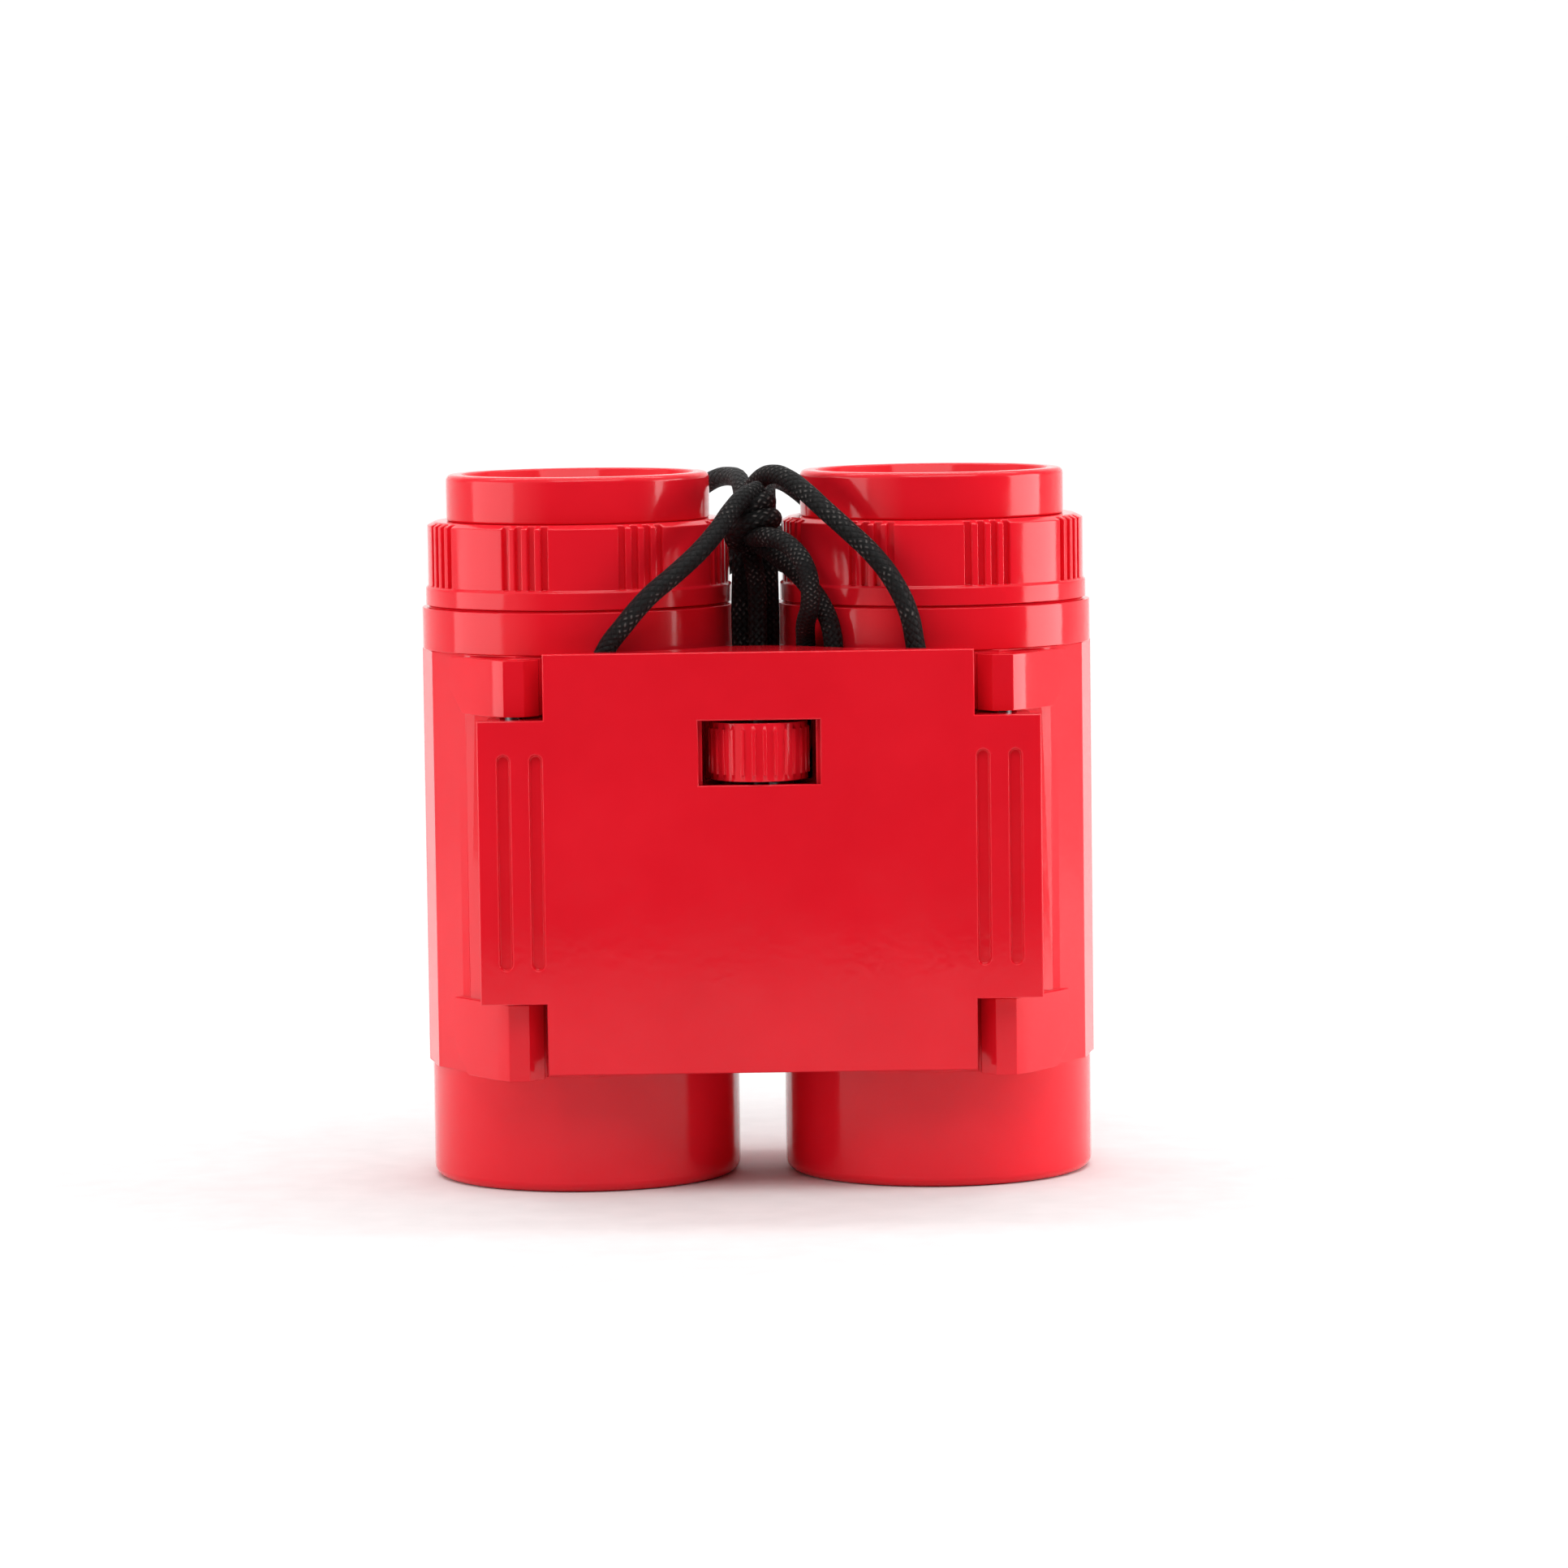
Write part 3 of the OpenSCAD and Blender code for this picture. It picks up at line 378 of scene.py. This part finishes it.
# %% Tie the main knot
knot_foot = Vector((-0.4, -7.5, 82.2))
knot_turns, knot_height, end_r, belly_r, lean = 2.6, 5.6, 1.5, 1.1, 1.2
knot_start, lean_start, knot_steps = 2.0, 0.6, 40


def knot_point(share):
    turn = 2 * math.pi * knot_turns * share
    r = end_r + belly_r * math.sin(math.pi * share)
    rise = knot_height * share + lean * math.sin(turn + lean_start)
    return knot_foot + Vector((r * math.cos(turn - knot_start), r * math.sin(turn - knot_start), rise))


knot_route = [knot_point(i / knot_steps) for i in range(knot_steps + 1)]
knot, line = cord_along("cord_main_knot", knot_route, steps=4)
on_bridge(knot, "cord_knot")
print("knot length", round(line_length(line), 4))

# %% [markdown]
# ## Stopper knots
# Inside the bridge each front strand ends in a small stopper knot, which keeps it from slipping out.
# It is the same cord once more, wound into a small wavy ring of about one and a half turns.

# %% Tie the stopper knots
stopper_place, stopper_r, stopper_turns, stopper_steps = (14, -19, 46.3), 0.95, 1.6, 28
wave_height, waves_a_turn = 0.55, 1.5


def stopper(name, mirror):
    x, y, z = stopper_place
    foot = Vector((mirror * x, y, z))
    angles = (2 * math.pi * stopper_turns * i / stopper_steps for i in range(stopper_steps + 1))
    ring = [foot + Vector((stopper_r * math.cos(a), stopper_r * math.sin(a),
                           wave_height * math.sin(waves_a_turn * a))) for a in angles]
    return cord_along(name, ring, steps=4)[0]


on_bridge(stopper("cord_stopper_left", -1), "cord_stoppers")
on_bridge(stopper("cord_stopper_right", 1))
print("stopper knots made")

# %% [markdown]
# ## Tie
# A flat band of the same braid holds the hank's waist. A cube without its top and bottom is a square band.
# Its upright edges are rounded while it is still a unit cube, it is scaled to the solid's box,
# and the wall then gets its thickness.

# %% Tie the hank
tie_low, tie_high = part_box("cord_tie")
corner_share, band_wall, braid_repeat, soft_edge = 0.22, 1.1 * MM, 8 * MM, 0.35 * MM
bm = bmesh.new()
bmesh.ops.create_cube(bm, size=1)
bmesh.ops.delete(bm, geom=[f for f in bm.faces if abs(f.normal.z) > 0.5], context="FACES_ONLY")
upright = [e for e in bm.edges if abs(e.verts[0].co.z - e.verts[1].co.z) > 0.5]
bmesh.ops.bevel(bm, geom=upright, offset=corner_share, affect="EDGES", segments=6, profile=0.5, material=-1)
bmesh.ops.scale(bm, vec=tie_high - tie_low, verts=bm.verts)
bmesh.ops.translate(bm, vec=(tie_low + tie_high) / 2, verts=bm.verts)
bmesh.ops.recalc_face_normals(bm, faces=bm.faces)
bmesh.ops.solidify(bm, geom=bm.faces[:], thickness=band_wall)
uv = bm.loops.layers.uv.new("UVMap")
for face in bm.faces:
    for corner in face.loops:
        place = corner.vert.co
        corner[uv].uv = ((place.x + place.y) / braid_repeat, (place.z - tie_low.z) / braid_repeat)
mesh = bpy.data.meshes.new("cord_tie_band")
bm.to_mesh(mesh)
bm.free()
tie = bpy.data.objects.new("cord_tie_band", mesh)
bpy.context.scene.collection.objects.link(tie)
rounding = tie.modifiers.new("soft_edges", "BEVEL")
rounding.width, rounding.segments, rounding.limit_method = soft_edge, 3, "ANGLE"
on_bridge(tie, "cord_tie")
print("tie made:", len(tie.data.polygons), "faces")

# %% [markdown]
# ## Red plastic
# The toy is moulded from one glossy red plastic. Its colour drifts a little with the flow of the melt,
# its skin has a faint orange-peel ripple, and handling has left small rubbed patches that are less shiny.

# %% Glossy moulded red
def glossy_red():
    material, tree, shader = new_finish("moulded_red")
    where = add(tree, "TexCoord").outputs["Object"]
    flow = add(tree, "TexNoise", Vector=where, Scale=38.0, Detail=3.0, Roughness=0.6).outputs["Fac"]
    tree.links.new(ramp(tree, flow, (0.3, (0.75, 0.008, 0.019)), (0.7, (0.83, 0.011, 0.024))),
                   shader.inputs["Base Color"])
    rub = add(tree, "TexNoise", Vector=where, Scale=120.0, Detail=5.0, Roughness=0.65).outputs["Fac"]
    tree.links.new(ramp(tree, rub, (0.40, (0.09,) * 3), (0.80, (0.20,) * 3)), shader.inputs["Roughness"])
    peel = add(tree, "TexNoise", Vector=where, Scale=700.0, Detail=2.0).outputs["Fac"]
    bump = add(tree, "Bump", Strength=0.06, Distance=0.0002, Height=peel)
    tree.links.new(bump.outputs[0], shader.inputs["Normal"])
    shader.inputs["IOR"].default_value = 1.36
    shader.inputs["Subsurface Weight"].default_value = 0.08
    shader.inputs["Subsurface Radius"].default_value = (0.003, 0.0004, 0.0004)
    shader.inputs["Subsurface Scale"].default_value = 1.0
    return material


red = glossy_red()
print("red plastic nodes:", len(red.node_tree.nodes))

# %% [markdown]
# ## Moulded edges
# A mould never leaves a razor edge. The pieces that aren't round are copies of their solids, with points
# that nearly meet merged, flat faces joined again and sharp edges beveled by one or two tenths of a
# millimetre, so that they catch the light.

# %% Copy a solid and round its edges
body_of = {n: b for b, members in frame["record"]["behaviour"]["bodies"].items() for n in members}
slot_of = {s["node"]: s["material_slot"] for s in frame["record"]["subparts"]}
merge_reach, flat_angle, sharp_angle = 0.02 * MM, math.radians(0.3), math.radians(20)


def stand_for(piece, node):
    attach(piece, body_of[node])
    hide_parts(node)
    return piece


def sharp_edges(bm):
    return [e for e in bm.edges if e.is_manifold and e.calc_face_angle() > sharp_angle]


def finished(bm, name, material):
    """The bmesh as an object, smooth where it bends gently."""
    mesh = bpy.data.meshes.new(name)
    for face in bm.faces:
        face.smooth = True
    bm.to_mesh(mesh)
    bm.free()
    mesh.materials.append(material)
    piece = bpy.data.objects.new(name, mesh)
    bpy.context.scene.collection.objects.link(piece)
    even = piece.modifiers.new("even_shading", "WEIGHTED_NORMAL")
    even.keep_sharp = True
    return piece


def moulded(node, edge, picks, clamp):
    """A copy of the node. The sharp edges that the function picks accepts are beveled by edge in mm."""
    bm = bmesh.new()
    bm.from_mesh(frame["nodes"][node].data)
    bmesh.ops.remove_doubles(bm, verts=bm.verts, dist=merge_reach)
    bmesh.ops.dissolve_limit(bm, angle_limit=flat_angle, verts=bm.verts, edges=bm.edges)
    bmesh.ops.bevel(bm, geom=[e for e in sharp_edges(bm) if picks(e)], offset=edge * MM, offset_type="OFFSET",
                    affect="EDGES", segments=2, profile=0.5, material=-1, clamp_overlap=clamp)
    return stand_for(finished(bm, node + "_shell", red), node)

# %% [markdown]
# ## Housings, bridge, rings and wheel
# The bevel operator can clamp its width so that no strips overlap, but one short edge then makes all of them
# thin. So the clamp is on only for the pieces with crowded corners, and the bridge cover gets its bevels in
# front alone, along its outline, its wheel window and its wing grooves.

# %% Bevel the moulded pieces
groove_floor = -22.2 * MM


def every_edge(edge):
    return True


def outer_edge(edge):
    return edge.is_convex


def front_edge(edge):
    return all(v.co.y < groove_floor for v in edge.verts)


bevels = [("bridge_cover", 0.22, front_edge, False), ("bridge_back", 0.2, every_edge, False),
          ("focus_wheel", 0.1, outer_edge, True),
          ("left_barrel_housing", 0.18, outer_edge, True), ("right_barrel_housing", 0.18, outer_edge, True),
          ("left_focus_ring", 0.12, every_edge, False), ("right_focus_ring", 0.12, every_edge, False)]
for node, edge, picks, clamp in bevels:
    piece = moulded(node, edge, picks, clamp)
    print(piece.name, "faces", len(piece.data.polygons))

# %% [markdown]
# ## Turned pieces
# The objective tubes, collars and eyecups are round. Each is one closed profile, spun a full turn about
# its barrel. The spin merges its last ring with its first, and the sharp rings are then beveled.

# %% Spin a profile about a barrel
barrel_x = (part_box("right_eyecup")[0].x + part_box("right_eyecup")[1].x) / 2
barrel_y = (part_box("right_eyecup")[0].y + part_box("right_eyecup")[1].y) / 2
seam_reach = 0.0001 * MM


def spun(node, profile, edge, segments=3, steps=144):
    """A closed profile of (radius, height) in mm, spun about the node's barrel."""
    x = -barrel_x if node.startswith("left") else barrel_x
    bm = bmesh.new()
    corners = [bm.verts.new((x + r * MM, barrel_y, z * MM)) for r, z in profile]
    edges = [bm.edges.new((a, b)) for a, b in zip(corners, corners[1:] + corners[:1])]
    bmesh.ops.spin(bm, geom=corners + edges, cent=(x, barrel_y, 0), axis=(0, 0, 1), angle=math.tau,
                   steps=steps, use_merge=True)
    bmesh.ops.remove_doubles(bm, verts=bm.verts, dist=seam_reach)
    bmesh.ops.recalc_face_normals(bm, faces=bm.faces)
    bmesh.ops.bevel(bm, geom=sharp_edges(bm), offset=edge * MM, offset_type="OFFSET", affect="EDGES",
                    segments=segments, profile=0.5, material=-1, clamp_overlap=True)
    return stand_for(finished(bm, node + "_shell", red), node)


def arc(r, z, radius, start, end, count=6):
    """Points of a round corner, angles in degrees from outwards."""
    angles = [math.radians(start + (end - start) * i / count) for i in range(count + 1)]
    return [(r + radius * math.cos(a), z + radius * math.sin(a)) for a in angles]

# %% [markdown]
# ## Tubes, collars and eyecups
# Each profile goes once round the wall, as pairs of radius and height in mm. The tube has a rounded foot,
# a seat for its lens and a spigot that plugs into the housing. The collar has such a spigot too, a low
# shoulder under the focus ring and a neck for the lens cell, and the eyecup a rounded lip and a sloping bowl.

# %% Spin the tubes, collars and eyecups
tube_r, tube_round, tube_top, mouth_r, mouth_depth = 20, 1.4, 15, 17.4, 6
spigot_r, spigot_h, spigot_bore_r = 15.98, 6, 14.02
seat_r, seat_top, lip_r, lip_low, lip_top = 15.02, 7.6, 14, 7.8, 9.4
tube_profile = [(mouth_r, mouth_depth), (mouth_r, 0),
                *arc(tube_r - tube_round, tube_round, tube_round, -90, 0),
                (tube_r, tube_top), (spigot_r, tube_top), (spigot_r, tube_top + spigot_h),
                (spigot_bore_r, tube_top + spigot_h), (spigot_bore_r, lip_top),
                (lip_r, lip_top), (lip_r, lip_low), (seat_r, seat_top), (seat_r, mouth_depth)]

collar_r, collar_low, collar_top, shoulder_r, shoulder_h = 20.4, 69, 74.4, 19.6, 0.24
neck_r, neck_bore_r, neck_top = 14.4, 11.56, 82.59
collar_profile = [(neck_bore_r, collar_low - spigot_h), (spigot_r, collar_low - spigot_h),
                  (spigot_r, collar_low), (collar_r, collar_low), (collar_r, collar_top),
                  (shoulder_r, collar_top), (shoulder_r, collar_top + shoulder_h),
                  (neck_r, collar_top + shoulder_h), (neck_r, neck_top), (neck_bore_r, neck_top)]

cup_r, cup_round, cup_low, cup_top, cup_hole_r = 17.1, 0.8, 85.5, 91.5, 8
rim_r, bowl_r, bowl_low, bowl_top = 15.1, 14.5, 87.3, 90.1
cup_profile = [(cup_hole_r, cup_low), (cup_r, cup_low),
               *arc(cup_r - cup_round, cup_top - cup_round, cup_round, 0, 90),
               (rim_r, cup_top), (bowl_r, bowl_top), (cup_hole_r, bowl_low)]

for hand in ("left", "right"):
    for node, profile, edge in ((hand + "_objective_tube", tube_profile, 0.25),
                                (hand + "_eyepiece_collar", collar_profile, 0.16),
                                (hand + "_eyecup", cup_profile, 0.3)):
        piece = spun(node, profile, edge)
        print(piece.name, "faces", len(piece.data.polygons))

# %% [markdown]
# ## Clear lenses and drawn steel
# The lenses are clear plastic with faint finger smudges. The pins, axle and screws are steel wire with the
# fine lines that drawing leaves along it. Its colour is darkened far below bright steel as painted shade, for
# the pins and axle that sit in shaded gaps.

# %% Lens plastic and steel wire
def clear_lens():
    material, tree, shader = new_finish("clear_lens_plastic")
    where = add(tree, "TexCoord").outputs["Object"]
    smudge = add(tree, "TexNoise", Vector=where, Scale=160.0, Detail=4.0).outputs["Fac"]
    tree.links.new(ramp(tree, smudge, (0.45, (0.01,) * 3), (0.8, (0.08,) * 3)), shader.inputs["Roughness"])
    shader.inputs["Base Color"].default_value = (0.97, 0.99, 1.0, 1)
    shader.inputs["Transmission Weight"].default_value = 1.0
    shader.inputs["IOR"].default_value = 1.49
    return material


def drawn_steel():
    material, tree, shader = new_finish("drawn_steel")
    where = add(tree, "TexCoord").outputs["Object"]
    drawn = add(tree, "Mapping", Vector=where, Scale=(4000.0, 4000.0, 60.0)).outputs["Vector"]
    lines = add(tree, "TexNoise", Vector=drawn, Scale=1.0, Detail=3.0).outputs["Fac"]
    # Painted shade: the steel's colour is kept dark so that the pins and axle in shaded gaps show no bright
    # metal.
    tree.links.new(ramp(tree, lines, (0.3, (0.17, 0.175, 0.18)), (0.7, (0.26, 0.265, 0.27))),
                   shader.inputs["Base Color"])
    tree.links.new(ramp(tree, lines, (0.3, (0.22,) * 3), (0.7, (0.38,) * 3)), shader.inputs["Roughness"])
    shader.inputs["Metallic"].default_value = 1.0
    return material

# %% [markdown]
# ## Pieces that keep their solid
# Lens cells, retaining rings, lenses, pins and axle sit inside the toy, and of the screws only the small
# heads show behind, so their plain solids are enough. They only get the finish of their slot.

# %% Finish the solids that stay
finishes = {"red_plastic": red, "clear_lens": clear_lens(), "steel": drawn_steel()}
for node, solid in frame["nodes"].items():
    if not solid.hide_render:
        solid.data.materials.clear()
        solid.data.materials.append(finishes[slot_of[node]])
        print(node, "keeps its solid in", slot_of[node])
